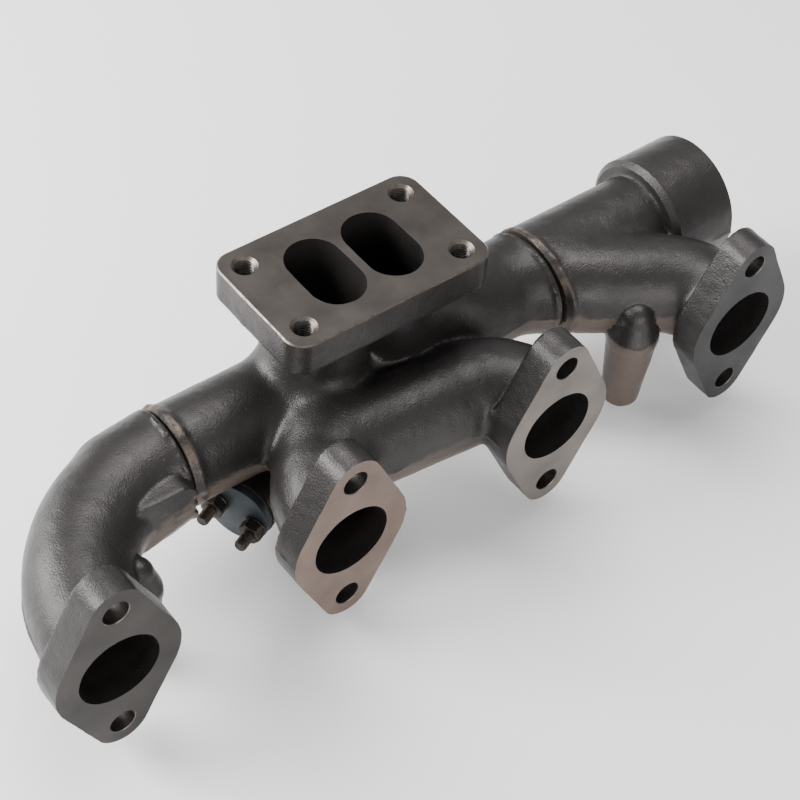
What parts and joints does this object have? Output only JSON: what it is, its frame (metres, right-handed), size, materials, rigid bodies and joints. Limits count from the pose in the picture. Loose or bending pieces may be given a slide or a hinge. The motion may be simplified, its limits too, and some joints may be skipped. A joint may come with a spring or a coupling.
{
  "type": "exhaust manifold",
  "caption": "Cast iron exhaust manifold with oval port flanges, twin-scroll turbocharger flange, slip joints between its sections and an open collar at one end.",
  "frame": {"origin": "on the port face plane, at port-centre height, midway between ports 2 and 3 (centre of their four-hole bolt rectangle)", "axes": "+X along the main tube from port 1 to port 4, port faces look towards -Y, +Z out of the turbocharger flange"},
  "size_m": [0.4146, 0.113, 0.132],
  "materials": {
    "cast_iron": "raw casting skin, dark grey-brown, machined port and turbocharger faces",
    "ring_iron": "fine turned grey iron",
    "gasket": "graphite sheet, matt dark grey",
    "cover_steel": "flat plate, dull blue-grey",
    "fastener_steel": "blackened steel, worn to bright metal at the thread tips"
  },
  "bodies": {
    "centre": {"centre_casting": "cast_iron", "seal_ring_front_a": "ring_iron", "seal_ring_front_b": "ring_iron", "seal_ring_rear_a": "ring_iron", "seal_ring_rear_b": "ring_iron", "cover_gasket": "gasket", "blanking_cover": "cover_steel", "cover_studs": "fastener_steel", "cover_washers": "fastener_steel", "cover_nuts": "fastener_steel"},
    "front_section": {"front_casting": "cast_iron"},
    "rear_section": {"rear_casting": "cast_iron"}
  },
  "joints": [
    {"name": "front_slip_joint", "type": "slide", "parent": "centre", "child": "front_section", "axis": [-1, 0, 0], "range_m": [-0.0012, 0.0025]},
    {"name": "rear_slip_joint", "type": "slide", "parent": "centre", "child": "rear_section", "axis": [1, 0, 0], "range_m": [-0.0014, 0.0025]}
  ]
}
